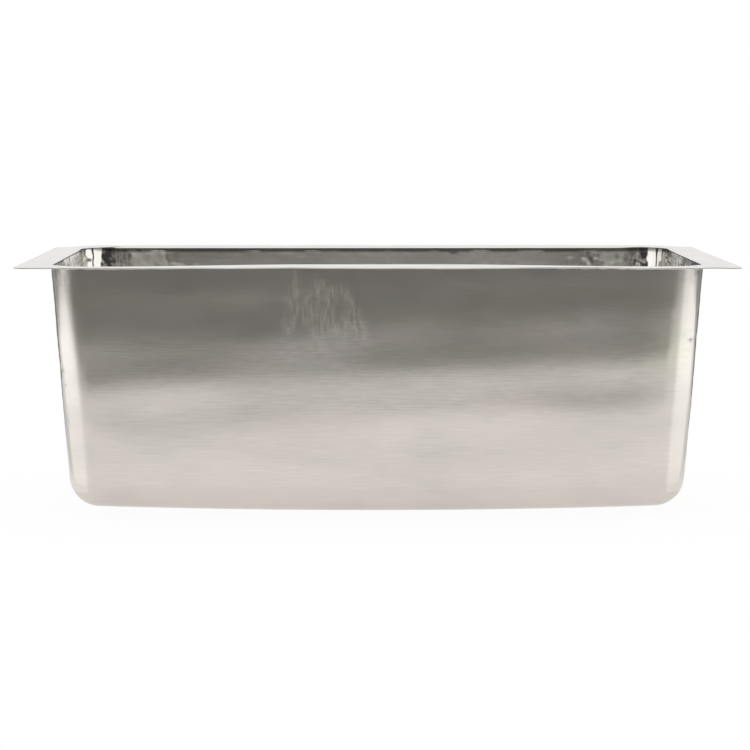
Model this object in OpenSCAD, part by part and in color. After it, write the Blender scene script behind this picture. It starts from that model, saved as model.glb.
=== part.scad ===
// Hammered stainless steel kitchen sink with one bowl and a flat rim, welded from sheet.
// The origin is the middle of the bowl's opening, level with the top of the rim.
// +X runs to the right, +Y to the back and +Z up. Sizes are in millimetres and angles in degrees.

/* [Rim] */
// Width of the flat rim around the bowl
rim_strip = 33.5; // [20:0.5:60]
// Radius of the rim's outer corners
rim_corner_r = 6; // [1:0.5:20]

/* [Bowl] */
// Width over the outside of the bowl, level with the top of the rim
bowl_w = 695; // [560:1:860]
// Front to back over the outside of the bowl, level with the top of the rim
bowl_d = 441; // [360:1:520]
// Height from the floor beside the drain to the top of the rim
bowl_h = 265; // [180:1:300]
// Lean of the walls from upright
wall_lean = 4.2; // [1:0.1:8]
// Outside radius of the upright corners and of the turn from wall to floor
corner_r = 33; // [22:1:50]
// How far the floor falls from its corners to the drain
floor_fall = 6; // [2:0.5:15]
// Thickness of every sheet
sheet = 1.6; // [1:0.1:3]

/* [Drain] */
// Diameter of the drain hole
drain_d = 88.9; // [60:0.1:100]
// Width of the flat seat around the drain hole
seat_w = 13.5; // [8:0.5:20]
// Height that the seat lies below the floor
seat_drop = 6; // [6:0.5:12]
// Radius at half thickness of the two turns between the seat and the floor
seat_turn_r = 2.8; // [1.6:0.1:2.9]
// Width of the flat land between the upper turn and the weld
land_w = 6; // [3:0.5:12]

/* [Welds] */
// Width of a ground butt weld between two sheets
seam_w = 3; // [1.5:0.5:6]
// Leg of the fillet weld under the rim
bead_leg = 2; // [1.5:0.5:5]

/* [Hidden] */

// Fineness of round surfaces
$fn = 96;
// Steps of the pan round one upright corner, down the turn to the floor, and across the floor
corner_steps = 14;
turn_steps = 9;
floor_steps = 5;
// Steps along a wall, for the front and back and for the two ends
wall_steps = [16, 10];

// The four sides run anticlockwise from above, and each is drawn as if it were the front
front = 0;
right = 1;
back = 2;
left = 3;

// Colours of the brushed walls, the bent end sheets, the pan and the ground welds
wall_grey = [0.62, 0.6, 0.57];
end_grey = [0.7, 0.69, 0.67];
pan_grey = [0.74, 0.72, 0.69];
weld_grey = [0.78, 0.77, 0.74];
rim_grey = [0.86, 0.86, 0.84];

// Values that follow from the sizes
lean = tan(wall_lean);
corner_axis = [lean, -lean, 1];
rim_under = -sheet;
seat_edge_r = drain_d / 2 + seat_w;
land_r = seat_edge_r + 2 * seat_turn_r + land_w;
pan_hole_r = land_r + seam_w;

// Distance from the middle to the outside of a side's wall, level with the top of the rim
function wall_out(side) = side % 2 == front ? bowl_d / 2 : bowl_w / 2;

// A ball of radius corner_r rolls round the bowl, touching the outsides of the walls and the floor.
// Its skin is the upright corners and the turn from wall to floor. This is how far from the middle
// its centre would be level with the top of the rim.
function ball_out(side) = wall_out(side) - corner_r / cos(wall_lean);

// The floor is dished to a large sphere about a point high above the drain
corner_reach = norm([for (side = [front, right]) ball_out(side) - (bowl_h + sheet - corner_r) * lean]);
dish_r = (pow(corner_reach, 2) - pow(pan_hole_r, 2)) / (2 * floor_fall);
dish_z = sqrt(pow(dish_r, 2) - pow(pan_hole_r, 2)) - bowl_h - sheet;
dish_centre = [0, 0, dish_z];
ball_track = dish_r - corner_r;

// The depth at which the ball touches both the dish and one or two leaning walls. Its centre is across
// away from the middle along the wall, and the distances in outs shrink by the lean on the way down.
function total(v) = v * [for (x = v) 1];
function touch_depth(across, outs) =
    let (a = 1 + len(outs) * pow(lean, 2))
    let (b = dish_z - lean * total(outs))
    let (c = pow(across, 2) + outs * outs + pow(dish_z, 2) - pow(ball_track, 2))
    (sqrt(pow(b, 2) - a * c) - b) / a;

corner_depth = touch_depth(0, [ball_out(front), ball_out(right)]);
function corner_out(side) = ball_out(side) - corner_depth * lean;

// Small vector tools
function unit(v) = v / norm(v);
function spin(v, side) =
    [v.x * cos(90 * side) - v.y * sin(90 * side), v.x * sin(90 * side) + v.y * cos(90 * side), v.z];
function swing(v, w, t) =
    let (full = acos(v * w)) (sin((1 - t) * full) * v + sin(t * full) * w) / sin(full);

// Outward directions of a side's wall and of its neighbour on the right, as if the side were the front
wall_dir = [0, -cos(wall_lean), -sin(wall_lean)];
next_dir = [cos(wall_lean), 0, -sin(wall_lean)];

// Centre of the ball beside a side's wall, and in the corner at the wall's right end
function ball_at(side, x) =
    let (depth = touch_depth(x, [ball_out(side)])) [x, depth * lean - ball_out(side), -depth];
function corner_ball(side) = [corner_out(side + 1), -corner_out(side), -corner_depth];

// A station is a place on the way round the bowl: the ball's centre, the outward direction of the wall
// there, and the way up the wall for each millimetre of height. Stations on a wall are evenly spread as
// seen from the drain, and the last one is at the corner, where the corner's own stations follow.
function half_step(side) = atan2(corner_out(side + 1), corner_out(side)) / wall_steps[side % 2];
function wall_station(side, step) =
    let (x = corner_out(side) * tan(half_step(side) * (2 * step - wall_steps[side % 2])))
    [ball_at(side, x), wall_dir, [lean * x / corner_out(side + 1), -lean, 1]];
function corner_station(side, step) =
    [corner_ball(side), swing(wall_dir, next_dir, step / corner_steps), corner_axis];
function side_stations(side) = [
    for (step = [0:wall_steps[side % 2]]) wall_station(side, step),
    for (step = [1:corner_steps - 1]) corner_station(side, step),
];
stations = [
    for (side = [front:left], s = side_stations(side)) [for (v = s) spin(v, side)],
];

// Numbers of the stations at the two ends of a side's wall
half_round = wall_steps[front] + wall_steps[right] + 2 * corner_steps;
function side_start(side) = floor(side / 2) * half_round + side % 2 * (wall_steps[front] + corner_steps);
function side_end(side) = side_start(side) + wall_steps[side % 2];

// All stations of one corner share one point of the floor's edge: the number of the station that holds it
floor_owner = [
    for (side = [front:left]) each [
        side_end((side + 3) % 4),
        for (step = [1:wall_steps[side % 2]]) side_start(side) + step,
        for (step = [1:corner_steps - 1]) side_end(side),
    ],
];

// A point on the wall at a station: inset is the depth below the outer face, and rise the height above
// the line where the turn to the floor begins. The next one is at the height z instead.
function wall_point(s, inset, rise) = s[0] + (corner_r - inset) * s[1] + rise * s[2];
function wall_level(s, inset, z) = wall_point(s, inset, z - s[0].z - (corner_r - inset) * s[1].z);

// A point on the turn from wall to floor, and one on the floor, where along runs from 0 to 1
function floor_dir(s) = unit(s[0] - dish_centre);
function turn_point(s, inset, along) = s[0] + (corner_r - inset) * swing(s[1], floor_dir(s), along);
function hole_dir(s) =
    let (r = pan_hole_r / cos(max(half_step(front), half_step(right))))
    let (flat = unit([s[0].x, s[0].y])) [flat.x * r, flat.y * r, -sqrt(pow(dish_r, 2) - r * r)] / dish_r;
function floor_point(s, inset, along) =
    dish_centre + (dish_r - inset) * swing(floor_dir(s), hole_dir(s), along);

// Triangles between one section and the next, all with size points, which run down the outside and up
// the inside. Point j of section i has the number that number(i, j) gives.
function skin(spans, size, number) = [
    for (i = [0:spans - 1], j = [0:size - 1])
        let (next_j = (j + 1) % size)
        let (a = number(i, j), b = number(i + 1, j), c = number(i + 1, next_j), d = number(i, next_j))
        each [[a, b, c], [a, c, d]],
];

// A closed ring through sections, one for each station. From the point numbered shared_from to the one
// numbered shared_to, all stations of a corner hold one point, and triangles of no size are left out.
module ring(sections, shared_from, shared_to) {
    count = len(sections);
    size = len(sections[0]);
    function number(i, j) =
        j + size * (j >= shared_from && j <= shared_to ? floor_owner[i % count] : i % count);
    triangles = skin(count, size, function(i, j) number(i, j));
    polyhedron(
        points = [for (section = sections) each section],
        faces = [for (t = triangles) if (t[0] != t[1] && t[1] != t[2] && t[2] != t[0]) t],
        convexity = 6
    );
}

// An open strip through sections, with an end face on the first and the last
module strip(sections) {
    size = len(sections[0]);
    spans = len(sections) - 1;
    points = [for (section = sections) each section];
    first_end = [for (j = [0:size - 1]) j];
    last_end = [for (j = [1:size]) len(points) - j];
    sides = skin(spans, size, function(i, j) size * i + j);
    polyhedron(points = points, faces = concat(sides, [first_end, last_end]), convexity = 4);
}

// Sheet on the flat of a wall, from x_left to x_right at the height of the ball's centre. Its lower edge
// follows the dished floor, and it stands seam_w above the turn.
function lower_edge(side, x) =
    let (ball = ball_at(side, x))
    [x * (1 + seam_w * lean / corner_out(side + 1)), ball.z - corner_r * sin(wall_lean) + seam_w];
function upper_edge(side, x) =
    let (low = lower_edge(side, x)) [low[0] - sign(x) * lean * low[1], 0];
function up_wall(p) = [p[0], p[1] / cos(wall_lean)];

module wall_sheet(side, x_left, x_right, steps) {
    low = [for (step = [0:steps]) lower_edge(side, x_left + (x_right - x_left) * step / steps)];
    high = [for (x = [x_right, x_left]) upper_edge(side, x)];
    under_rim()
        rotate([0, 0, 90 * side])
            translate([0, -wall_out(side), 0])
                rotate([90 + wall_lean, 0, 0])
                    translate([0, 0, -sheet])
                        linear_extrude(sheet) polygon([for (p = concat(low, high)) up_wall(p)]);
}

// Cuts off what stands above the underside of the rim
module under_rim() {
    size = bowl_w + bowl_d;
    difference() {
        children();
        translate([-size / 2, -size / 2, rim_under]) cube(size);
    }
}

// Flat sheet between the two upright seams at the front or the back
module flat_wall(side) {
    reach = corner_out(side + 1) - seam_w;
    wall_sheet(side, -reach, reach, wall_steps[side % 2]);
}

// End sheet, with the upright corner at each end bent on it
module end_wall(side) {
    strip([
        for (i = [side_start(side) - corner_steps:side_end(side) + corner_steps])
            let (s = stations[(i + len(stations)) % len(stations)])
            [
                wall_level(s, 0, rim_under),
                wall_point(s, 0, seam_w),
                wall_point(s, sheet, seam_w),
                wall_level(s, sheet, rim_under),
            ],
    ]);
}

// Ground butt weld beside the corner at the left (hand -1) or right (hand 1) end of a side
module upright_seam(side, hand) {
    edge = corner_out(side + 1);
    wall_sheet(side, hand > 0 ? edge - seam_w : -edge, hand > 0 ? edge : seam_w - edge, 1);
}

module rounded_outline(w, d, r) {
    square([w - 2 * r, d], center = true);
    square([w, d - 2 * r], center = true);
    for (x = [-1, 1], y = [-1, 1])
        translate([x * (w / 2 - r), y * (d / 2 - r)]) circle(r);
}

module rim_flange() {
    inset = sheet * lean + sheet / cos(wall_lean);
    color(rim_grey)
        translate([0, 0, rim_under])
            linear_extrude(sheet)
                difference() {
                    rounded_outline(bowl_w + 2 * rim_strip, bowl_d + 2 * rim_strip, rim_corner_r);
                    rounded_outline(bowl_w - 2 * inset, bowl_d - 2 * inset, corner_r - sheet);
                }
}

module front_wall() {
    color(wall_grey) flat_wall(front);
}

module back_wall() {
    color(wall_grey) flat_wall(back);
}

module left_wall() {
    color(end_grey) end_wall(left);
}

module right_wall() {
    color(end_grey) end_wall(right);
}

module bottom_pan() {
    turn = [for (step = [0:turn_steps]) step / turn_steps];
    floor_out = [for (step = [1:floor_steps]) step / floor_steps];
    floor_back = [for (step = [floor_steps:-1:1]) step / floor_steps];
    turn_back = [for (step = [turn_steps:-1:0]) step / turn_steps];
    sections = [
        for (s = stations) concat(
            [for (t = turn) turn_point(s, 0, t)],
            [for (t = floor_out) floor_point(s, 0, t)],
            [for (t = floor_back) floor_point(s, sheet, t)],
            [for (t = turn_back) turn_point(s, sheet, t)]
        ),
    ];
    color(pan_grey) ring(sections, turn_steps, turn_steps + 2 * floor_steps + 1);
}

// Quarter of a bent sheet seen from the side, in the quadrant that toward points into
module sheet_turn(toward) {
    outer = seat_turn_r + sheet / 2;
    intersection() {
        difference() {
            circle(outer);
            circle(outer - sheet);
        }
        translate([min(toward.x, 0) * 2 * outer, min(toward.y, 0) * 2 * outer]) square(2 * outer);
    }
}

module drain_seat() {
    seat_z = -bowl_h - seat_drop - sheet;
    wall_r = seat_edge_r + seat_turn_r;
    color(end_grey)
        rotate_extrude() {
            translate([drain_d / 2, seat_z]) square([seat_w, sheet]);
            translate([seat_edge_r, seat_z + sheet / 2 + seat_turn_r]) sheet_turn([1, -1]);
            translate([wall_r - sheet / 2, seat_z + sheet / 2 + seat_turn_r])
                square([sheet, seat_drop - 2 * seat_turn_r]);
            translate([wall_r + seat_turn_r, -bowl_h - sheet / 2 - seat_turn_r]) sheet_turn([-1, 1]);
            translate([wall_r + seat_turn_r, -bowl_h - sheet]) square([land_w, sheet]);
        }
}

module rim_bead() {
    sections = [
        for (s = stations)
            let (foot = wall_level(s, 0, rim_under))
            [foot + bead_leg * unit([s[1].x, s[1].y, 0]), wall_level(s, 0, rim_under - bead_leg), foot],
    ];
    color(weld_grey) ring(sections, len(sections[0]), 0);
}

module front_left_seam() {
    color(weld_grey) upright_seam(front, -1);
}

module front_right_seam() {
    color(weld_grey) upright_seam(front, 1);
}

module back_left_seam() {
    color(weld_grey) upright_seam(back, 1);
}

module back_right_seam() {
    color(weld_grey) upright_seam(back, -1);
}

module pan_seam() {
    sections = [
        for (s = stations) [
            wall_point(s, 0, seam_w),
            wall_point(s, 0, 0),
            wall_point(s, sheet, 0),
            wall_point(s, sheet, seam_w),
        ],
    ];
    color(weld_grey) ring(sections, len(sections[0]), 0);
}

module drain_seam() {
    color(weld_grey)
        rotate_extrude() translate([land_r, -bowl_h - sheet]) square([seam_w, sheet]);
}

rim_flange();
front_wall();
back_wall();
left_wall();
right_wall();
bottom_pan();
drain_seat();
rim_bead();
front_left_seam();
front_right_seam();
back_left_seam();
back_right_seam();
pan_seam();
drain_seam();
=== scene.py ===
import math

import bpy
import numpy as np
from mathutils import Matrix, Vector, kdtree


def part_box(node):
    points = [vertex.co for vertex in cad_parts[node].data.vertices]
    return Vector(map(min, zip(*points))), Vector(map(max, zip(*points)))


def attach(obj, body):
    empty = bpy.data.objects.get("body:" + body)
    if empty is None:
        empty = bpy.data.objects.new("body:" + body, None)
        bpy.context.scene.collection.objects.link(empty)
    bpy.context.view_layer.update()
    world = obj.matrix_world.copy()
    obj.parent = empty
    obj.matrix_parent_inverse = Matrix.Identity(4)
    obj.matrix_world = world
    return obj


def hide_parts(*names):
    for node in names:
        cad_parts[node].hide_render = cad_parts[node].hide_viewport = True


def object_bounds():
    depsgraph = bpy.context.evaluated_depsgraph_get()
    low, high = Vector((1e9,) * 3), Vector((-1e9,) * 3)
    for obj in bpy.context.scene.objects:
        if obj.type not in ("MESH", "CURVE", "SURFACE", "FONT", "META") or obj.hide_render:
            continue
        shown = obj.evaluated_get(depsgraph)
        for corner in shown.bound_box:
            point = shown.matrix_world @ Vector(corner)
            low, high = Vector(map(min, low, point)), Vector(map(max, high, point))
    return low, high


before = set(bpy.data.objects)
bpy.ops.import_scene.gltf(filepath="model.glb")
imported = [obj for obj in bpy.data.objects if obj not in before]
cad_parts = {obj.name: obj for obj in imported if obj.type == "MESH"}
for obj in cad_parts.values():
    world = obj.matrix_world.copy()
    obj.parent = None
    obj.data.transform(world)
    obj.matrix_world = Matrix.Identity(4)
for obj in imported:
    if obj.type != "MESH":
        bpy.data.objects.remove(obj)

cad_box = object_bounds()
MM = 0.001
rng = np.random.default_rng(11)

# ---------------------------------------------------------------- sizes, in millimetres as in the CAD
RIM_LOW, RIM_HIGH = (np.array(corner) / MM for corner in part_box("rim_flange"))
RIM_HALF = RIM_HIGH[:2]
RIM_STRIP = 33.5
RIM_CORNER_R = 6.0
SHEET = RIM_HIGH[2] - RIM_LOW[2]
BOWL_HALF = RIM_HALF - RIM_STRIP
BOWL_H = 265.0
LEAN = math.radians(4.2)
CORNER_R = 33.0
FLOOR_FALL = 6.0
SEAM_W = 3.0
BEAD_LEG = 2.0
HOLE_R = (np.array(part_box("drain_seam")[1]) / MM)[0]

TAN, COS, SIN = math.tan(LEAN), math.cos(LEAN), math.sin(LEAN)
WALL_OUT = [BOWL_HALF[1], BOWL_HALF[0]] * 2
BALL_OUT = [reach - CORNER_R / COS for reach in WALL_OUT]

corner_reach = math.hypot(*[out - (BOWL_H + SHEET - CORNER_R) * TAN for out in BALL_OUT[:2]])
DISH_R = (corner_reach**2 - HOLE_R**2) / (2 * FLOOR_FALL)
DISH_Z = math.sqrt(DISH_R**2 - HOLE_R**2) - BOWL_H - SHEET
DISH = np.array([0, 0, DISH_Z])


def touch_depth(across, outs):
    """How deep the ball lies that touches the dish and the leaning walls at these distances."""
    a = 1 + len(outs) * TAN**2
    b = DISH_Z - TAN * sum(outs)
    c = across**2 + sum(out**2 for out in outs) + DISH_Z**2 - (DISH_R - CORNER_R) ** 2
    return (np.sqrt(b**2 - a * c) - b) / a


CORNER_DEPTH = touch_depth(0.0, BALL_OUT[:2])
CORNER_OUT = [out - CORNER_DEPTH * TAN for out in BALL_OUT]


def unit(v):
    return v / np.linalg.norm(v, axis=-1, keepdims=True)


def swing(v, w, t):
    """Turns the directions v towards w by the share t of the angle between them."""
    full = np.arccos(np.clip((v * w).sum(-1, keepdims=True), -1, 1))
    return (np.sin((1 - t) * full) * v + np.sin(t * full) * w) / np.sin(full)


# ---------------------------------------------------------------- stations round the bowl
STEP = 2.25
CORNER_STEPS = 24
# Finer stations stand where the front wall is scraped
MARKS_FROM, MARKS_TO, MARKS_STEP = -108, -14, 1.15
WALL_DIR = np.array([0, -COS, -SIN])
NEXT_DIR = np.array([COS, 0, -SIN])


def spread(start, stop, step):
    count = max(1, round((stop - start) / step))
    return list(np.linspace(start, stop, count + 1)[1:])


def wall_places(side):
    """Where a side's stations stand along its wall: seam edges, even steps, and fine ones at the marks."""
    edge = CORNER_OUT[(side + 1) % 4]
    xs = [-edge, -edge + SEAM_W / 2, -edge + SEAM_W]
    inner = edge - SEAM_W
    if side == 0:
        xs += (spread(-inner, MARKS_FROM, STEP) + spread(MARKS_FROM, MARKS_TO, MARKS_STEP)
               + spread(MARKS_TO, inner, STEP))
    else:
        xs += spread(-inner, inner, STEP)
    xs += [edge - SEAM_W / 2, edge]
    # A few more on the plain part, because the coarse floor rows take every fourth station
    first_extra = len(xs) - 40
    for k in range(-(len(xs) - 1) % 4):
        at = first_extra + 2 * k
        xs.insert(at, (xs[at - 1] + xs[at]) / 2)
    return np.array(xs)


def turned_to(side):
    """Turns row vectors from the front to a side: 0 front, 1 right, 2 back, 3 left."""
    cos, sin = math.cos(side * math.pi / 2), math.sin(side * math.pi / 2)
    return np.array([[cos, sin, 0], [-sin, cos, 0], [0, 0, 1]])


balls, dirs, ups, alongs, sides = [], [], [], [], []
starts, ends = [], []
ring = 0.0
for side in range(4):
    edge = CORNER_OUT[(side + 1) % 4]
    xs = wall_places(side)
    depth = touch_depth(xs, [BALL_OUT[side]])
    ball = np.stack([xs, depth * TAN - BALL_OUT[side], -depth], 1)
    up = np.stack([TAN * xs / edge, np.full(len(xs), -TAN), np.ones(len(xs))], 1)
    turn = np.linspace(0, 1, CORNER_STEPS + 1)[1:-1, None]
    corner = np.repeat(ball[-1:], len(turn), 0)
    corner_dir = swing(WALL_DIR[None], NEXT_DIR[None], turn)
    corner_up = np.repeat(np.array([[TAN, -TAN, 1]]), len(turn), 0)
    spin = turned_to(side)
    starts.append(sum(len(b) for b in balls))
    ends.append(starts[-1] + len(xs) - 1)
    balls.append(np.concatenate([ball, corner]) @ spin)
    dirs.append(np.concatenate([np.repeat(WALL_DIR[None], len(xs), 0), corner_dir]) @ spin)
    ups.append(np.concatenate([up, corner_up]) @ spin)
    arc = CORNER_R * math.pi / 2
    alongs.append(np.concatenate([ring + xs + edge, ring + 2 * edge + turn[:, 0] * arc]))
    ring += 2 * edge + arc
    sides += [side] * (len(xs) + len(turn))
balls, dirs, ups, alongs = (np.concatenate(parts) for parts in (balls, dirs, ups, alongs))
sides = np.array(sides)
COLS = len(balls)
floor_dirs = unit(balls - DISH)

# In a coarse row a column takes its corners from another: its owner. The corners of the bowl have one each.
owner = np.arange(COLS)
for side in range(4):
    owner[ends[side] : ends[side] + CORNER_STEPS] = ends[side]
    owner[starts[side]] = ends[side - 1]
coarse = {1: owner}
for stride in (2, 4):
    thin = owner.copy()
    for side in range(4):
        local = np.arange(ends[side] - starts[side] + 1)
        thin[starts[side] : ends[side] + 1] = owner[starts[side] + local // stride * stride]
    coarse[stride] = thin

# ---------------------------------------------------------------- rows, from the rim down to the drain
WALL_ROWS = 96
TURN_ROWS = 21
FLOOR_ROWS = 52
FINE_FLOOR_ROWS = 30
rows = []


def wall_top(inset):
    return -SHEET - balls[:, 2] - (CORNER_R - inset) * dirs[:, 2]


def wall_row(share):
    def at(inset):
        top = wall_top(inset)
        rise = SEAM_W + (top - SEAM_W) * share
        return balls + (CORNER_R - inset) * dirs + rise[:, None] * ups, dirs
    return at


def seam_row(rise):
    return lambda inset: (balls + (CORNER_R - inset) * dirs + rise * ups, dirs)


def turn_row(share):
    def at(inset):
        way = swing(dirs, floor_dirs, share)
        return balls + (CORNER_R - inset) * way, way
    return at


def floor_row(share):
    def at(inset):
        flat = unit(balls[:, :2]) * HOLE_R
        hole = np.c_[flat, np.full(COLS, -math.sqrt(DISH_R**2 - HOLE_R**2))] / DISH_R
        way = swing(floor_dirs, hole, share)
        return DISH + (DISH_R - inset) * way, way
    return at


TOP_ROWS = (1.0, 0.9972, 0.9940, 0.9915)
for share in [*TOP_ROWS, *np.linspace(1, 0, WALL_ROWS + 1)[2:]]:
    rows.append((wall_row(share), np.arange(COLS)))
rows.append((seam_row(SEAM_W / 2), np.arange(COLS)))
rows.append((seam_row(0.0), np.arange(COLS)))
for share in np.linspace(0, 1, TURN_ROWS + 1)[1:]:
    rows.append((turn_row(share), coarse[1] if share == 1 else np.arange(COLS)))
for number, share in enumerate(np.linspace(0, 1, FLOOR_ROWS + 1)[1:]):
    rows.append((floor_row(share), coarse[2 if number < FINE_FLOOR_ROWS else 4]))
ROWS = len(rows)
SEAM_ROW = WALL_ROWS + len(TOP_ROWS) - 2
PAN_ROW = SEAM_ROW + 2

out_places, in_places = (np.stack([at(inset)[0] for at, _ in rows]) for inset in (0.0, SHEET))
ways = np.stack([at(0.0)[1] for at, _ in rows])
ids = np.stack([r * COLS + columns for r, (_, columns) in enumerate(rows)])

# How far down the profile each vertex lies, for the brushed grain
steps = np.linalg.norm(np.diff(out_places, axis=0), axis=-1)
down = np.concatenate([np.zeros((1, COLS)), np.cumsum(steps, 0)])
grain = np.stack([np.broadcast_to(alongs, (ROWS, COLS)), down, np.zeros((ROWS, COLS))], -1)


# ---------------------------------------------------------------- uneven fields
def waves(points, count, shortest, longest, stretch=(1, 1, 1), chance=rng):
    """A smooth random field of about unit height, made of plane waves."""
    total = np.zeros(points.shape[:-1])
    for _ in range(count):
        length = shortest * (longest / shortest) ** chance.random()
        way = unit(chance.normal(size=3)) / np.array(stretch)
        total += np.cos(points @ way * (2 * math.pi / length) + chance.random() * 2 * math.pi)
    return total / math.sqrt(count / 2)


def smooth(low, high, x):
    """From 0 to 1 as x goes from low to high."""
    t = np.clip((x - low) / (high - low), 0, 1)
    return t * t * (3 - 2 * t)


def bump_between(low, high, fade, x):
    """1 between low and high, with soft ends."""
    return smooth(low, low + fade, x) * (1 - smooth(high - fade, high, x))


# Hammer blows: their middles lie at least this far apart, all over the sheet
BLOW_GAP = 8.2
BLOW_REACH = 0.72 * BLOW_GAP
BLOW_SHARPNESS = 7.0


def blow_middles(points):
    """The points, in their order, that keep their distance from all those before."""
    cells, chosen = {}, []
    for p in points:
        cell = tuple((p // BLOW_GAP).astype(int))
        near = (cells.get((cell[0] + i, cell[1] + j, cell[2] + k), ())
                for i in (-1, 0, 1) for j in (-1, 0, 1) for k in (-1, 0, 1))
        if all((p[0] - q[0]) ** 2 + (p[1] - q[1]) ** 2 + (p[2] - q[2]) ** 2 > BLOW_GAP**2
               for group in near for q in group):
            cells.setdefault(cell, []).append(p)
            chosen.append(p)
    return chosen


flat_places = out_places.reshape(-1, 3)
used = np.unique(ids)
blows = blow_middles(flat_places[rng.permutation(used)])
tree = kdtree.KDTree(len(blows))
for number, p in enumerate(blows):
    tree.insert(p, number)
tree.balance()
force = rng.uniform(0.55, 1.35, len(blows))
tilt = rng.normal(size=(len(blows), 3)) * 0.05

# Each blow is a bowl of its own, and they meet in soft ridges
blow = np.zeros(ROWS * COLS)
for number in used:
    p = flat_places[number]
    total = 0.0
    for place, index, distance in tree.find_n(p, 4):
        value = (distance / BLOW_REACH) ** 2 - force[index] + float((p - blows[index]) @ tilt[index])
        total += math.exp(-BLOW_SHARPNESS * value)
    blow[number] = math.log(total) / BLOW_SHARPNESS
blow = blow.reshape(ROWS, COLS)
blow -= blow.flat[used].mean()

out_z, in_z = out_places[..., 2], in_places[..., 2]
# How far a face looks to the side, from 0 at the front and back to 1 at the ends, and how far it looks down
sideways = np.abs(ways[..., 0]) / COS
under = -ways[..., 2]
upright = np.abs(under) < 0.5
past_hole = smooth(HOLE_R, HOLE_R + 14, np.hypot(out_places[..., 0], out_places[..., 1]))


def hammered_in():
    """How far the inner face is pushed out by the hammer."""
    standing = 1 - smooth(0.25, 0.75, np.abs(under))
    near_top = smooth(1.5, 16, -in_z)
    from_x = np.abs(np.abs(in_places[..., 0]) - BOWL_HALF[0])
    from_y = np.abs(np.abs(in_places[..., 1]) - BOWL_HALF[1])
    corner = np.exp(-np.hypot(from_x, from_y) / 90)
    hole = smooth(HOLE_R, HOLE_R + 14, np.hypot(in_places[..., 0], in_places[..., 1]))
    strength = (0.21 * (0.45 + 0.55 * near_top) * (0.62 + 1.1 * corner * standing)
                * (1 + 0.9 * smooth(0.85, 0.99, sideways)) * hole)
    return blow * strength + 0.22 * waves(in_places, 14, 70, 200)


def hammered_out():
    """How the outer face differs: the front is brushed nearly flat, and the blows stay on the ends."""
    turn = smooth(0.12, 0.4, under)
    round_front = smooth(0.04, 0.2, sideways)
    strength = (0.012 * (1 - round_front) + 0.03 * (ways[..., 1] > 0.5) + 0.17 * smooth(0.92, 0.995, sideways)
                + 0.04 * turn + 0.10 * turn * smooth(0.3, 0.7, sideways) - 0.02 * smooth(0.9, 0.99, under))
    return blow * strength * past_hole * smooth(1, 6, -out_z)


def corner_ripples():
    """The upright corners are rippled across the bend."""
    bend = smooth(0.2, 0.6, sideways) * (1 - smooth(0.96, 1.0, sideways))
    ripple = (0.022 * waves(out_places * [1, 1, 0.1], 18, 5, 12)
              + 0.03 * waves(out_places * [1, 1, 0.25], 12, 14, 30))
    return ripple * upright * smooth(-2, -12, out_z) * bend


MARKS_X, MARKS_Z = -57, -47
MARKS_WIDE, MARKS_HIGH = 46, 40


def scraped_marks():
    """A patch of upright scraped hammer marks on the front wall, left of its middle: depth and reach."""
    front = (sides == 0)[None, :] & (np.abs(ways[..., 1] + COS) < 1e-6)
    ragged = 0.35 * waves(out_places, 10, 18, 45)
    beside = (out_places[..., 0] - MARKS_X + 0.2 * (out_z + 45)) / MARKS_WIDE
    patch = smooth(0.0, 1.1, 1.3 - np.hypot(beside, (out_z - MARKS_Z) / MARKS_HIGH) ** 2 + ragged)
    scrapes = waves(out_places * [1, 1, 0.42], 40, 4.2, 8)
    depth = 0.02 * np.clip(-scrapes - 0.5, 0, 1) - 0.02 * np.clip(scrapes - 0.2, 0, 1.6)
    return depth * patch * front, patch * front


def corner_dents():
    """Small dents down the outer half of both front corners: depth and reach."""
    chance = np.random.default_rng(5)
    reach = (bump_between(0.60, 0.99, 0.12, sideways) * (ways[..., 1] < 0) * bump_between(-240, -35, 50, out_z)
             * smooth(-0.3, 0.7, waves(out_places, 10, 25, 60, chance=chance)))
    dents = waves(out_places * [1, 1, 0.7], 30, 6, 11, chance=chance)
    return 0.26 * np.clip(dents - 0.3, 0, 1.4) * reach, reach


# Bends of the rim's long strips: height, from and to along X, and the length of the soft ends
BACK_EDGE = ((1.9, -375, 372, 55), (0.3, -375, 375, 40))
FRONT_EDGE = ((0.3, -180, -20, 70), (-0.25, -30, 130, 60), (0.6, 130, 255, 50), (-0.6, 245, 360, 40))


def sag(p):
    """The rim's own unevenness, in height: both long strips are bent, and their edges are wavy."""
    x, y, z = p[..., 0], p[..., 1], p[..., 2]
    inner = np.clip((RIM_HALF[1] - np.abs(y)) / RIM_STRIP, 0, 1)
    back_outer, front_outer = (sum(height * bump_between(low, high, fade, x) for height, low, high, fade in bends)
                               for bends in (BACK_EDGE, FRONT_EDGE))
    front_outer = front_outer + 0.1 * np.sin(x / 17 + 0.4)
    back_inner = (1.3 * (smooth(304, 312, -x) + smooth(285, 322, x)) * bump_between(-360, 360, 25, x)
                  + 0.7 * bump_between(-345, 345, 50, x))
    front_inner = 2.3 * smooth(-290, -70, x) * (1 - smooth(60, 290, x)) - 0.7 * bump_between(-345, 345, 30, x)
    back = smooth(150, 216, y) * (back_outer * (1 - inner) + back_inner * inner)
    front = smooth(-150, -216, y) * (front_outer * (1 - inner) + front_inner * inner)
    return (back + front) * smooth(-70, -2, z)


def warped(p):
    p = p.copy()
    p[..., 2] += sag(p)
    return p


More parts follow.
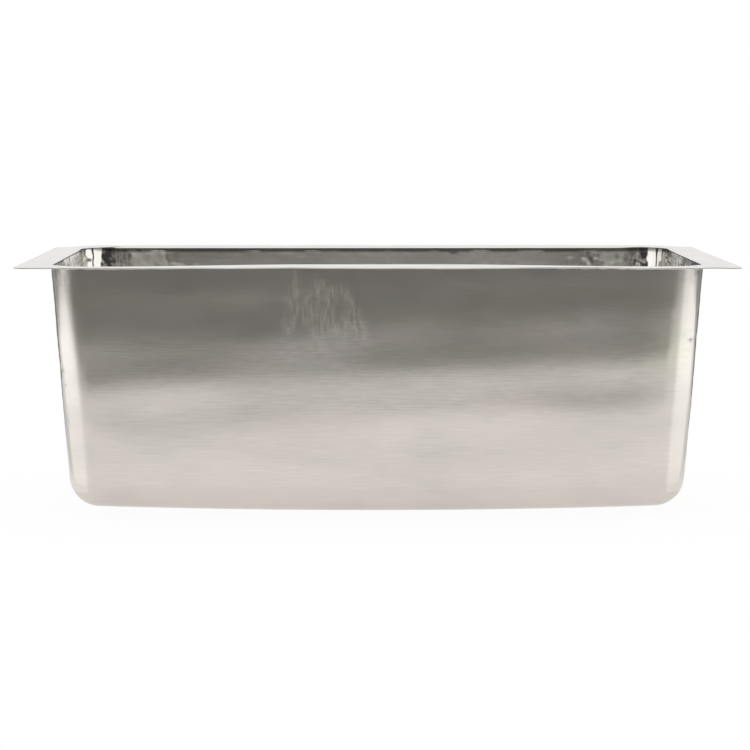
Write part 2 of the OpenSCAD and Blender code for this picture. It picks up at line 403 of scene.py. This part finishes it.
def shoulder(distance, before, tilt):
    """Depth by which the face lies in, at this distance along the level profile from the corner's start."""
    arc = CORNER_R * math.pi / 2
    s = np.linspace(-before, arc, 400)
    lead = np.interp(s, [-before, 0, arc * 0.3, arc * 0.72, arc], [0, 1, 0, -1, 0]) * math.radians(tilt)
    depth = np.concatenate([[0], np.cumsum((lead[1:] + lead[:-1]) / 2 * np.diff(s))])
    depth -= np.interp(s, [0, arc], [0, 1]) * depth[-1]
    return np.interp(distance, s, depth, left=0, right=0)


def past(place):
    """The way along the level profile past a place, at most half of the ring either way."""
    return (alongs - place + ring / 2) % ring - ring / 2


# The flat sheets start to bend a little before the corners
bend = (shoulder(past(alongs[ends[0]]), 30.0, 6.0) + shoulder(-past(alongs[starts[0]]), 24.0, 4.0)
        + shoulder(-past(alongs[starts[2]]), 20.0, 4.0) + shoulder(past(alongs[ends[2]]), 12.0, 8.0))
inward = bend[None, :] * smooth(0, 0.5, 1 - under)

wavy = 0.22 * waves(out_places, 30, 50, 150, (2.6, 2.6, 0.75)) * smooth(0, 40, -out_z)
wavy *= 1 - 0.85 * smooth(0.02, 0.2, sideways * COS) * (1 - smooth(0.9, 0.99, sideways))
wavy *= 1 - smooth(0.9, 1.0, under) * 0.7
mark_depth, mark_haze = scraped_marks()
push_out = hammered_out() + corner_ripples() + mark_depth + wavy * 0.6
push_in = hammered_in()
dent_depth, dented = corner_dents()
push_out = (push_out - inward - dent_depth) * past_hole
push_in = (push_in - inward) * past_hole
faces_out = warped(out_places + ways * push_out[..., None]).reshape(-1, 3)
faces_in = warped(in_places + ways * push_in[..., None]).reshape(-1, 3)

# ---------------------------------------------------------------- how the faces are finished, and where light and shade are painted on them
# Outside: polished bends, scraped places, hazy places, and painted highlight on the bright bands of the upright
# corners
bends_polished = np.clip(smooth(0.45, 0.80, sideways * COS) * upright + smooth(0.15, 0.45, under) * 0.6, 0, 1)
olive = smooth(-8, -40, out_z) * (1 - smooth(-100, -150, out_z)) * np.clip(0.5 + 0.4 * waves(
    out_places * [0.5, 1, 1.2], 12, 50, 140), 0, 1)
worn_top = smooth(0.02, 0.3, sideways * COS) * upright * (
    1 - smooth(14, 42, -out_z + 7 * waves(out_places * [1, 1, 0.4], 16, 8, 30)))
scraped = np.maximum(np.maximum(mark_haze, worn_top * 0.4), dented * 0.35)
hazy = np.clip(olive * 0.8 * (1 - bends_polished) + mark_haze * 0.5, 0, 1)
# Painted highlight: the base colour is brightened on a band round each upright corner, less towards the bottom
painted_highlight = (smooth(0.30, 0.46, sideways * COS) * (1 - smooth(0.94, 0.99, sideways)) * upright
        * (1 - 0.6 * smooth(-90, -180, out_z)))
finish_and_light_out = np.stack([bends_polished, scraped, hazy, painted_highlight], -1)

# Inside: polished corners, a painted shadow line under the rim with painted shade over the right wall, and hazy
# places on the back wall beside both corners, brightened by painted highlight
level = np.maximum(np.abs(ways[..., 0]), np.abs(ways[..., 1])) / COS
bent = np.clip(smooth(0.0, 0.12, 1 - level) * upright + smooth(0.15, 0.45, under), 0, 1)
near_corner = 1 - smooth(8, 130, CORNER_OUT[1] - np.abs(in_places[..., 0]))
shine = np.clip(np.maximum(bent, np.maximum(near_corner, smooth(0.3, 0.9, sideways * COS))), 0, 1)
shine = shine * (1 - smooth(0.5, 0.9, under) * 0.5)
# Painted shade: a dark line just under the rim, thicker on the right wall and thinner on the left, and a
# darkening over the whole right wall; none on the front wall
right_side = smooth(0.5, 0.9, ways[..., 0])
line = 2.2 + 2.4 * right_side - 1.6 * smooth(0.3, 0.8, -ways[..., 0]) + 0.8 * waves(in_places, 12, 20, 70)
shade = np.clip(1 - smooth(0, 1.2, -in_z - SHEET - line) + 0.38 * right_side, 0, 1) * (ways[..., 1] > -0.3)
HAZE_X, HAZE_HALF = (-271, 283), (25, 19)
on_left = in_places[..., 0] < 0
from_haze = (in_places[..., 0] - np.where(on_left, *HAZE_X)) / np.where(on_left, *HAZE_HALF)
haze = (smooth(0, 0.5, 1 - from_haze**2 + 0.35 * waves(in_places, 20, 9, 30)) * smooth(-120, -50, in_z)
        * (ways[..., 1] > 0.5))
finish_and_light_in = np.stack([shine * (1 - haze), shade, haze * 0.6, haze * 0.8], -1)

# ---------------------------------------------------------------- faces of the whole skin
r, c = np.meshgrid(np.arange(ROWS - 1), np.arange(COLS), indexing="ij")
n = (c + 1) % COLS
quads = np.stack([ids[r, c], ids[r + 1, c], ids[r + 1, n], ids[r, n]], -1).reshape(-1, 4)
face_row, face_col = r.reshape(-1), c.reshape(-1)
# Where a row is coarse, corners coincide: such a face is a triangle, or nothing
same = quads == np.roll(quads, -1, 1)
keep = same.sum(1) < 2
quads, face_row, face_col, same = (a[keep] for a in (quads, face_row, face_col, same))


def polygons(rows_of_quads, repeats):
    """Corner lists with a repeated corner left out."""
    out = []
    for quad, repeat in zip(rows_of_quads.tolist(), repeats.tolist()):
        out.append([v for v, again in zip(quad, repeat) if not again])
    return out


def vertex_normals(points, four):
    a, b, c_, d = (points[four[:, k]] for k in range(4))
    across = np.cross(c_ - a, d - b)
    total = np.zeros_like(points)
    for k in range(4):
        np.add.at(total, four[:, k], across)
    length = np.linalg.norm(total, axis=1, keepdims=True)
    return total / np.where(length > 0, length, 1)


normal_out = vertex_normals(faces_out, quads)
normal_in = -vertex_normals(faces_in, quads)


def flow_of(points):
    """The way the sheet is brushed, level and round the bowl."""
    straight = np.abs(points[:, 0]) / BOWL_HALF[0] - np.abs(points[:, 1]) / BOWL_HALF[1]
    t = smooth(-0.08, 0.08, straight)[:, None]
    return unit(np.array([1.0, 0, 0]) * (1 - t) * -np.sign(points[:, 1:2]) + np.array([0, 1.0, 0]) * t
                * np.sign(points[:, 0:1]) + 1e-9)


def build(name, points, faces, normals, kinds_of_face, grains, materials, finishes_and_light=None):
    """A mesh object with its own corner normals, a grain attribute, an attribute of finish and painted light, and
    a material for each face.
    """
    mesh = bpy.data.meshes.new(name)
    mesh.from_pydata((points * MM).tolist(), [], faces)
    mesh.polygons.foreach_set("use_smooth", np.ones(len(faces), bool))
    for material in materials:
        mesh.materials.append(material)
    mesh.polygons.foreach_set("material_index", np.array(kinds_of_face, np.int32))
    layer = mesh.attributes.new("grain", "FLOAT_VECTOR", "POINT")
    layer.data.foreach_set("vector", (grains * MM).astype(np.float32).ravel())
    finish_and_light_values = mesh.attributes.new("finish_and_light", "FLOAT_COLOR", "POINT")
    finish_and_light_values.data.foreach_set("color", (np.zeros((len(points), 4)) if finishes_and_light is None else finishes_and_light)
                          .astype(np.float32).ravel())
    flow = mesh.attributes.new("flow", "FLOAT_VECTOR", "POINT")
    flow.data.foreach_set("vector", flow_of(points).astype(np.float32).ravel())
    if normals is not None:
        mesh.normals_split_custom_set(normals)
    mesh.update()
    piece = bpy.data.objects.new(name, mesh)
    bpy.context.scene.collection.objects.link(piece)
    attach(piece, "root")
    return piece


def skin(name, chosen, materials):
    """A closed piece of sheet: its outer face, its inner face and the cut edges between them."""
    polys = polygons(quads[chosen], same[chosen])
    edges = {}
    for poly in polys:
        for a, b in zip(poly, poly[1:] + poly[:1]):
            if (b, a) in edges:
                del edges[(b, a)]
            else:
                edges[(a, b)] = True
    members = sorted({v for poly in polys for v in poly})
    slot_of = {v: k for k, v in enumerate(members)}
    count = len(members)
    points = np.concatenate([faces_out[members], faces_in[members]])
    flat = grain.reshape(-1, 3)[members]
    # The streaks inside lie elsewhere in the noise than those outside
    inside = flat.copy()
    inside[:, 2] = 1
    outer = [[slot_of[v] for v in poly] for poly in polys]
    inner = [[slot_of[v] + count for v in reversed(poly)] for poly in polys]
    strip = [[slot_of[b], slot_of[a], slot_of[a] + count, slot_of[b] + count] for a, b in edges]
    faces = outer + inner + strip
    normals = []
    for poly in polys:
        normals += [normal_out[v] for v in poly]
    for poly in polys:
        normals += [normal_in[v] for v in reversed(poly)]
    for quad in strip:
        p = points[quad]
        normals += [unit(np.cross(p[2] - p[0], p[3] - p[1]))] * 4
    kinds_of_face = [0] * len(outer) + [1] * len(inner) + [0] * len(strip)
    finish_and_light_values = np.concatenate([finish_and_light_out.reshape(-1, 4)[members], finish_and_light_in.reshape(-1, 4)[members]])
    return build(name, points, faces, np.array(normals).tolist(), kinds_of_face, np.concatenate([flat, inside]),
                 materials, finish_and_light_values)


# ---------------------------------------------------------------- short ways to make nodes
def add(tree, kind, inputs=None, **settings):
    """A new node with its settings, and its inputs set to values or linked to other nodes' outputs."""
    node = tree.nodes.new("ShaderNode" + kind)
    for name, value in settings.items():
        setattr(node, name, value)
    for name, value in (inputs or {}).items():
        if isinstance(value, bpy.types.NodeSocket):
            tree.links.new(value, node.inputs[name])
        else:
            node.inputs[name].default_value = value
    return node


def math_node(tree, operation, *values):
    return add(tree, "Math", dict(enumerate(values)), operation=operation).outputs[0]


def slope(tree, value, start, stop, low, high, shape="SMOOTHSTEP"):
    """From low to high as the value goes from start to stop."""
    inputs = {"Value": value, "From Min": start, "From Max": stop, "To Min": low, "To Max": high}
    return add(tree, "MapRange", inputs, interpolation_type=shape).outputs["Result"]


def attribute(tree, name):
    return add(tree, "Attribute", attribute_name=name)


def noise(tree, vector, scale, stretch, detail=3.0, roughness=0.55):
    placed = add(tree, "Mapping", {"Vector": vector, "Scale": stretch}).outputs["Vector"]
    inputs = {"Vector": placed, "Scale": scale, "Detail": detail, "Roughness": roughness}
    return add(tree, "TexNoise", inputs).outputs["Fac"]


def ramp(tree, value, stops):
    """Colours by a value, from its first stop to its last."""
    node = add(tree, "ValToRGB", {"Fac": value})
    colours = node.color_ramp.elements
    for element, (position, colour) in zip(colours, (stops[0], stops[-1])):
        element.position = position
        element.color = (*colour, 1)
    for position, colour in stops[1:-1]:
        colours.new(position).color = (*colour, 1)
    return node.outputs["Color"]


def tinted(tree, amount, colour, tint):
    """A colour multiplied by a tint, to the given amount."""
    if isinstance(tint, tuple):
        tint = (*tint, 1)
    inputs = {"Factor": amount, "A": colour, "B": tint}
    return add(tree, "Mix", inputs, data_type="RGBA", blend_type="MULTIPLY").outputs["Result"]


def bumped(tree, height, distance, strength, below=None):
    """A normal roughened by a height, on top of another one."""
    inputs = {"Height": height, "Distance": distance, "Strength": strength}
    if below is not None:
        inputs["Normal"] = below
    return add(tree, "Bump", inputs).outputs["Normal"]


def new_material(name):
    material = bpy.data.materials.new(name)
    material.use_nodes = True
    return material, material.node_tree


# ---------------------------------------------------------------- materials
GREENER, REDDER = (0.991, 1.003, 0.997), (1.005, 0.996, 0.994)
HAZE_TINT = (0.985, 1.015, 0.95)
# A brightening of the base colour that paints a highlight
PAINTED_HIGHLIGHT_TINT = (1.33, 1.35, 1.375)


def grey(value):
    return (value, value, value)


def steel(name, tint, rough, rough_change, brush, brush_scale, cloud, anisotropic=0.0, fine=0.0, bent_rough=None,
          scraped_rough=None, shaded=None):
    """Steel with streaks along its grain, soft patches of colour and uneven roughness.

    The per-point attribute of finish and painted light says where it is smooth (X), scraped outside and darkened
    by painted shade inside (Y), hazy (Z) and brightened by painted highlight (alpha).
    """
    material, tree = new_material(name)
    shader = tree.nodes["Principled BSDF"]
    shader.inputs["Metallic"].default_value = 1.0
    shader.inputs["Anisotropic"].default_value = anisotropic
    shader.inputs["Anisotropic Rotation"].default_value = 0.25
    if anisotropic:
        tree.links.new(attribute(tree, "flow").outputs["Vector"], shader.inputs["Tangent"])
    grain_place = attribute(tree, "grain").outputs["Vector"]
    place = add(tree, "TexCoord").outputs["Object"]
    finish_and_light = attribute(tree, "finish_and_light").outputs
    smooth_there, scrapes_and_painted_shade, hazy_there = add(tree, "SeparateXYZ", {"Vector": finish_and_light["Vector"]}).outputs
    brushed_there = slope(tree, smooth_there, 0.0, 1.0, 1.0, 0.2, "LINEAR")

    patches = noise(tree, place, 9.0, (1.0, 1.0, 2.2), 2.0)
    colour = ramp(tree, patches, [
        (0.34, tuple(t * (1 - cloud) * k for t, k in zip(tint, GREENER))),
        (0.5, tint),
        (0.66, tuple(t * (1 + cloud * 0.5) * k for t, k in zip(tint, REDDER)))])
    streaks = noise(tree, grain_place, brush_scale, (0.03, 1.0, 1.0), 4.0, 0.6)
    colour = tinted(tree, hazy_there, colour, HAZE_TINT)
    colour = tinted(tree, brushed_there, colour, ramp(tree, streaks, [(0.3, grey(0.9)), (0.7, grey(1.0))]))
    # Painted highlight where the last channel is set
    colour = tinted(tree, finish_and_light["Alpha"], colour, PAINTED_HIGHLIGHT_TINT)
    # Painted shade where the second channel is set, if a shaded tint is given
    if shaded is not None:
        colour = tinted(tree, scrapes_and_painted_shade, colour, shaded)
    tree.links.new(colour, shader.inputs["Base Color"])

    uneven = noise(tree, grain_place, 14.0, (0.5, 1.6, 1.0))
    roughness = slope(tree, uneven, 0.3, 0.7, rough - rough_change, rough + rough_change, "LINEAR")
    scrapes = noise(tree, place, 290.0, (1.0, 1.0, 0.24), 2.0, 0.5)
    scraped_there = math_node(tree, "MULTIPLY", ramp(tree, scrapes, [(0.36, grey(0.12)), (0.70, grey(1.0))]),
                              scrapes_and_painted_shade)
    for amount, value in ((smooth_there, bent_rough), (scraped_there, scraped_rough)):
        if value is not None:
            roughness = add(tree, "Mix", {"Factor": amount, "A": roughness, "B": value}).outputs["Result"]
    tree.links.new(roughness, shader.inputs["Roughness"])

    normal = bumped(tree, streaks, 0.0002, math_node(tree, "MULTIPLY", brushed_there, brush))
    if scraped_rough is not None:
        normal = bumped(tree, scrapes, 0.00012, scrapes_and_painted_shade, normal)
    if fine:
        normal = bumped(tree, noise(tree, place, 900.0, (1.0, 1.0, 1.0), 2.0), 0.0001, fine, normal)
    tree.links.new(normal, shader.inputs["Normal"])
    return material


brushed = steel("steel_brushed", (0.715, 0.688, 0.662), 0.19, 0.02, 0.11, 900.0, 0.06, anisotropic=0.4,
                bent_rough=0.13, scraped_rough=0.29)
# Its shaded tint paints the shadow line under the rim and the shade over the right wall
polished = steel("steel_polished", (0.695, 0.675, 0.64), 0.24, 0.04, 0.10, 700.0, 0.08, bent_rough=0.08,
                 shaded=(0.30, 0.30, 0.29))
rim_steel = steel("steel_rim", (0.74, 0.73, 0.71), 0.24, 0.05, 0.20, 900.0, 0.03, anisotropic=0.2)
# Weld metal, its tone darkened further as painted shade under the rim
weld_and_shade = steel("steel_weld_and_shade", (0.44, 0.425, 0.40), 0.28, 0.06, 0.15, 500.0, 0.06, fine=0.3)
# Near-black steel that paints the shadow line under the rim's inner edge
painted_shadow_steel = steel("steel_painted_shadow", (0.22, 0.215, 0.21), 0.36, 0.05, 0.15, 500.0, 0.05)

# ---------------------------------------------------------------- the sheets
wall_rows = face_row < SEAM_ROW
seam_rows = (face_row >= SEAM_ROW) & (face_row < PAN_ROW)
pan_rows = face_row >= PAN_ROW


def between(first, last):
    """Faces whose column lies from first up to last, counted round the ring."""
    return (face_col - first) % COLS < (last - first) % COLS


PIECES = [
    ("front_wall", wall_rows & between(starts[0] + 2, ends[0] - 2)),
    ("back_wall", wall_rows & between(starts[2] + 2, ends[2] - 2)),
    ("right_wall", wall_rows & between(ends[0], starts[2])),
    ("left_wall", wall_rows & between(ends[2], starts[0])),
    ("front_left_seam", wall_rows & between(starts[0], starts[0] + 2)),
    ("front_right_seam", wall_rows & between(ends[0] - 2, ends[0])),
    ("back_right_seam", wall_rows & between(starts[2], starts[2] + 2)),
    ("back_left_seam", wall_rows & between(ends[2] - 2, ends[2])),
    ("pan_seam", seam_rows),
    ("bottom_pan", pan_rows),
]
for name, chosen in PIECES:
    piece = skin(name + "_skin", np.flatnonzero(chosen), [brushed, polished])
    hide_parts(name)

# ---------------------------------------------------------------- the rim
def tube(count):
    """The faces of a closed tube round the bowl whose section has this many points."""
    k, c = np.meshgrid(np.arange(count), np.arange(COLS), indexing="ij")
    k2, c2 = (k + 1) % count, (c + 1) % COLS
    return np.stack([k * COLS + c, k * COLS + c2, k2 * COLS + c2, k2 * COLS + c], -1).reshape(-1, 4)


def grain_of(around, across):
    """Where each point of a tube lies along its grain and across it."""
    around, across = np.broadcast_arrays(around, across)
    return np.stack([around, across, np.zeros(across.shape)], -1).reshape(-1, 3)


outer_edge = np.zeros((COLS, 2))
turns = np.linspace(0, math.pi / 2, CORNER_STEPS + 1)[1:-1]
for side in range(4):
    first, last = starts[side], ends[side]
    half = RIM_HALF[side % 2] - RIM_CORNER_R
    far = RIM_HALF[1 - side % 2]
    local = balls[first : last + 1] @ turned_to(side).T
    share = local[:, 0] / CORNER_OUT[(side + 1) % 4]
    flat = np.c_[share * half, np.full(len(share), -far)]
    arc = np.c_[half + RIM_CORNER_R * np.sin(turns), -(far - RIM_CORNER_R) - RIM_CORNER_R * np.cos(turns)]
    outer_edge[first : last + CORNER_STEPS] = np.concatenate([flat, arc]) @ turned_to(side)[:2, :2]

inner_edge = in_places[0, :, :2] - bend[:, None] * unit(dirs[:, :2])
across = outer_edge - inner_edge
way_out = unit(across)
# The section, from the rounded inner edge over the top, round the outer edge and back below
LIP_R, EDGE_R = 0.6, 0.7
section = []
for turn in np.linspace(0, math.pi / 2, 5):
    section.append((inner_edge + way_out * LIP_R * (1 - math.cos(turn)), -LIP_R * (1 - math.sin(turn))))
for share in np.linspace(0, 1, 11)[1:-1]:
    section.append((inner_edge + across * share, 0.0))
for turn in np.linspace(0, math.pi / 2, 4):
    section.append((outer_edge - way_out * EDGE_R * (1 - math.sin(turn)), -EDGE_R * (1 - math.cos(turn))))
for turn in np.linspace(0, math.pi / 2, 4):
    section.append((outer_edge - way_out * EDGE_R * (1 - math.cos(turn)),
                    -SHEET + EDGE_R * (1 - math.sin(turn))))
for share in np.linspace(1, 0, 9)[1:]:
    section.append((inner_edge + across * share, -SHEET))
rim_points = np.stack([np.c_[xy, np.full(COLS, z)] for xy, z in section])
rim_count = len(section)
hills = 0.10 * waves(rim_points, 14, 40, 130)
rim_points[..., 2] += hills * smooth(0, 8, np.linalg.norm(rim_points[..., :2] - inner_edge, axis=-1))
rim_points = warped(rim_points)
around = np.concatenate([[0], np.cumsum(np.linalg.norm(np.diff(outer_edge, axis=0), axis=1))])
rim_grain = grain_of(around, np.linalg.norm(rim_points[..., :2] - inner_edge, axis=-1))
# The rim's inner cut face gets the near-black steel: a painted shadow line
inner_cut = np.repeat(np.arange(rim_count) == rim_count - 1, COLS)
rim_face = build("rim_flange_skin", rim_points.reshape(-1, 3), tube(rim_count).tolist(), None, inner_cut,
                 rim_grain, [rim_steel, painted_shadow_steel])
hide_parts("rim_flange")

# ---------------------------------------------------------------- the bead under the rim
BEAD_STEPS = 7
BEAD_DEPTH = 0.4
# Lumps of weld metal that stand out: X, Y, width and height in legs
LUMPS = ((336, -206, 6, 1.5), (-327, -213, 4, 0.8), (-306, -217, 4, 0.5), (-288, -217, 5, 0.7),
         (-262, -217, 4, 0.4), (300, -217, 5, 0.4))
flat_out = np.c_[unit(dirs[:, :2]), np.zeros(COLS)]
top = out_places[0] - bend[:, None] * flat_out
lump = np.clip(0.82 + 0.14 * waves(top, 10, 5, 11) + 0.08 * waves(top, 8, 20, 60), 0.5, 1.2)
for x, y, wide, size in LUMPS:
    lump += size * np.exp(-(np.hypot(top[:, 0] - x, top[:, 1] - y) / wide) ** 2)
bead_points = [top - flat_out * BEAD_DEPTH + np.array([0, 0, 0.1])]
for turn in np.linspace(0, math.pi / 2, BEAD_STEPS):
    leg = BEAD_LEG * (lump * (1 - 0.10 * math.sin(2 * turn)))[:, None]
    bead_points.append(top + flat_out * leg * math.cos(turn) - ups * leg * math.sin(turn)
                       + np.array([0, 0, 0.05]))
bead_points.append(top - ups * BEAD_LEG - flat_out * BEAD_DEPTH)
bead_count = len(bead_points)
bead_faces = tube(bead_count).tolist()
bead = build("rim_bead_skin", warped(np.stack(bead_points)).reshape(-1, 3), bead_faces, None,
             [0] * len(bead_faces), grain_of(alongs, 0.7 * np.arange(bead_count)[:, None]), [weld_and_shade])
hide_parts("rim_bead")

# ---------------------------------------------------------------- the drain seat and its weld, as in the CAD
for name, material in (("drain_seat", polished), ("drain_seam", weld_and_shade)):
    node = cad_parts[name]
    node.data.materials.clear()
    node.data.materials.append(material)

# ---------------------------------------------------------------- the floor
# How bright the floor shines in the steel: in front of the sink, and beside it
FRONT_SHINE, SIDE_SHINE = 1.13, 1.23
# A wide sheet in front and beside, a narrow one behind: its edge makes the gradients in the steel
EDGE_LEFT = [(-0.30, -0.84), (-0.50, -0.77), (-0.66, -0.69), (-0.90, -0.67), (-1.20, -0.65), (-1.50, -0.52),
             (-1.58, -0.25), (-1.60, 0.05), (-1.52, 0.5), (-1.40, 0.85), (-0.75, 0.6), (-0.45, 0.5), (-0.45, 3.0)]
EDGE_RIGHT = [(0.30, -0.88), (0.50, -0.94), (0.64, -1.01), (0.86, -1.02), (1.12, -0.98), (1.40, -0.84),
              (1.63, -0.62), (1.72, -0.30), (1.70, 0.05), (1.60, 0.35), (1.28, 0.62), (0.75, 0.6), (0.45, 0.5),
              (0.45, 3.0)]


def floor_paint():
    """Matt white that is white to the camera but for a soft shadow, and bright beside the sink in the steel."""
    material, tree = new_material("stage_white")
    tree.nodes.clear()
    x, y, _ = add(tree, "SeparateXYZ", {"Vector": add(tree, "TexCoord").outputs["Object"]}).outputs
    # The angle away from the front, seen from the sink's nearest front corner
    aside = math_node(tree, "SUBTRACT", math_node(tree, "ABSOLUTE", x), BOWL_HALF[0] * MM)
    ahead = math_node(tree, "SUBTRACT", -BOWL_HALF[1] * MM, y)
    beside = math_node(tree, "DEGREES", math_node(tree, "ARCTAN2", aside, ahead))
    behind = math_node(tree, "MAXIMUM", slope(tree, beside, 112.0, 134.0, 1.0, 0.5),
                       slope(tree, aside, 0.08, 0.30, 0.88, 0.5))
    far_left = math_node(tree, "MULTIPLY", slope(tree, x, -0.05, -0.17, 0.0, 0.17),
                         slope(tree, ahead, 0.40, 0.54, 0.0, 1.0))
    strength = slope(tree, beside, 32.0, 54.0, FRONT_SHINE, SIDE_SHINE)
    for share in (behind, slope(tree, ahead, 0.0, 0.06, 0.955, 1.0), math_node(tree, "SUBTRACT", 1.0, far_left)):
        strength = math_node(tree, "MULTIPLY", strength, share)
    shine = add(tree, "Emission", {"Color": (1.0, 0.955, 0.905, 1), "Strength": strength})
    white = add(tree, "Emission", {"Strength": 1.012})
    seen = add(tree, "BsdfDiffuse", {"Color": (0.86, 0.855, 0.85, 1)}).outputs[0]
    path = add(tree, "LightPath")
    for ray, share, glow in (("Is Glossy Ray", 0.62, shine), ("Is Camera Ray", 0.94, white)):
        amount = math_node(tree, "MULTIPLY", path.outputs[ray], share)
        seen = add(tree, "MixShader", {0: amount, 1: seen, 2: glow.outputs[0]}).outputs[0]
    add(tree, "OutputMaterial", {"Surface": seen})
    return material


floor_z = cad_box[0][2]
floor_mesh = bpy.data.meshes.new("floor")
outline = [(*spot, floor_z) for spot in EDGE_LEFT[::-1] + EDGE_RIGHT]
floor_mesh.from_pydata(outline, [], [list(range(len(outline)))])
floor_mesh.materials.append(floor_paint())
stage = bpy.data.objects.new("floor", floor_mesh)
bpy.context.scene.collection.objects.link(stage)

# ---------------------------------------------------------------- the lamp
LAMP_PLACE, LAMP_TARGET = Vector((0, 0.3, 2.3)), Vector((0, 0.3, 0))
LAMP_SIZE = (3.2, 2.8)
LAMP_RADIANCE = 0.8
light = bpy.data.lights.new("overhead", "AREA")
light.shape = "RECTANGLE"
light.size, light.size_y = LAMP_SIZE
light.energy = LAMP_RADIANCE * math.pi * LAMP_SIZE[0] * LAMP_SIZE[1]
lamp = bpy.data.objects.new("overhead", light)
lamp.location = LAMP_PLACE
lamp.rotation_euler = (LAMP_TARGET - LAMP_PLACE).to_track_quat("-Z", "Y").to_euler()
bpy.context.scene.collection.objects.link(lamp)

# ---------------------------------------------------------------- the room around
world = bpy.data.worlds.new("studio")
bpy.context.scene.world = world
world.use_nodes = True
sky = world.node_tree
sky.nodes.clear()
x, y, z = add(sky, "SeparateXYZ", {"Vector": add(sky, "TexCoord").outputs["Generated"]}).outputs
bearing = math_node(sky, "DEGREES", math_node(sky, "ARCTAN2", x, math_node(sky, "MULTIPLY", y, -1.0)))
turned = math_node(sky, "ABSOLUTE", bearing)


def lit(first, full, fading, last, strength):
    """A bright part of the room, between angles away from the front to either side."""
    return math_node(sky, "MULTIPLY", slope(sky, turned, first, full, 0.0, strength),
                     slope(sky, turned, fading, last, 1.0, 0.0))


def times(*values):
    product = values[0]
    for value in values[1:]:
        product = math_node(sky, "MULTIPLY", product, value)
    return product


# Grey in front, a wide white box and a narrower one at each side, a dim part behind them, a white backdrop,
# and white high up
above = slope(sky, z, -0.03, 0.02, 0.0, 1.0)
below = slope(sky, z, -0.03, 0.02, 1.0, 0.0)
front = math_node(sky, "MAXIMUM", slope(sky, turned, 5.0, 11.0, 0.165, 0.05), lit(2.9, 3.6, 5.2, 8.0, 0.27))
warm = math_node(sky, "ADD", times(above, front), times(below, 0.19))
boxes = times(above, slope(sky, z, 0.20, 0.32, 1.0, 0.0),
              math_node(sky, "ADD", lit(38.0, 43.0, 69.0, 73.0, 1.35), lit(79.0, 82.0, 104.0, 109.0, 1.35)))
dim = times(lit(120.0, 135.0, 157.0, 165.0, 0.42), slope(sky, z, -0.12, -0.142, 0.0, 1.0))
backdrop = times(slope(sky, turned, 166.0, 172.0, 0.0, 0.93), slope(sky, z, -0.085, -0.065, 0.0, 1.0))
high = slope(sky, z, 0.11, 0.38, 0.0, 0.75)
white = dim
for part in (boxes, high, backdrop):
    white = math_node(sky, "MAXIMUM", white, part)

white_light = add(sky, "Background", {"Color": (1, 1, 1, 1), "Strength": white})
warm_light = add(sky, "Background", {"Color": (1.0, 0.96, 0.895, 1), "Strength": warm})
room = add(sky, "AddShader", {0: white_light.outputs[0], 1: warm_light.outputs[0]})
seen = add(sky, "Background", {"Color": (1, 1, 1, 1)})
camera_ray = add(sky, "LightPath").outputs["Is Camera Ray"]
picked = add(sky, "MixShader", {0: camera_ray, 1: room.outputs[0], 2: seen.outputs[0]})
add(sky, "OutputWorld", {"Surface": picked.outputs[0]})

# ---------------------------------------------------------------- the camera
IMAGE = 750
FOCAL_PIXELS = 3292.2
YAW, PITCH = math.radians(0.467), math.radians(4.65)
EYE = (-0.0311, -3.6927, 0.1669)
camera = bpy.data.cameras.new("camera")
camera.sensor_width = 36.0
camera.lens = FOCAL_PIXELS / IMAGE * camera.sensor_width
camera.clip_end = 100
eye = bpy.data.objects.new("camera", camera)
eye.location = EYE
forward = Vector((math.sin(YAW) * math.cos(PITCH), math.cos(YAW) * math.cos(PITCH), -math.sin(PITCH)))
eye.rotation_euler = forward.to_track_quat("-Z", "Y").to_euler()
bpy.context.scene.collection.objects.link(eye)
bpy.context.scene.camera = eye
bpy.context.scene.view_settings.view_transform = "Standard"
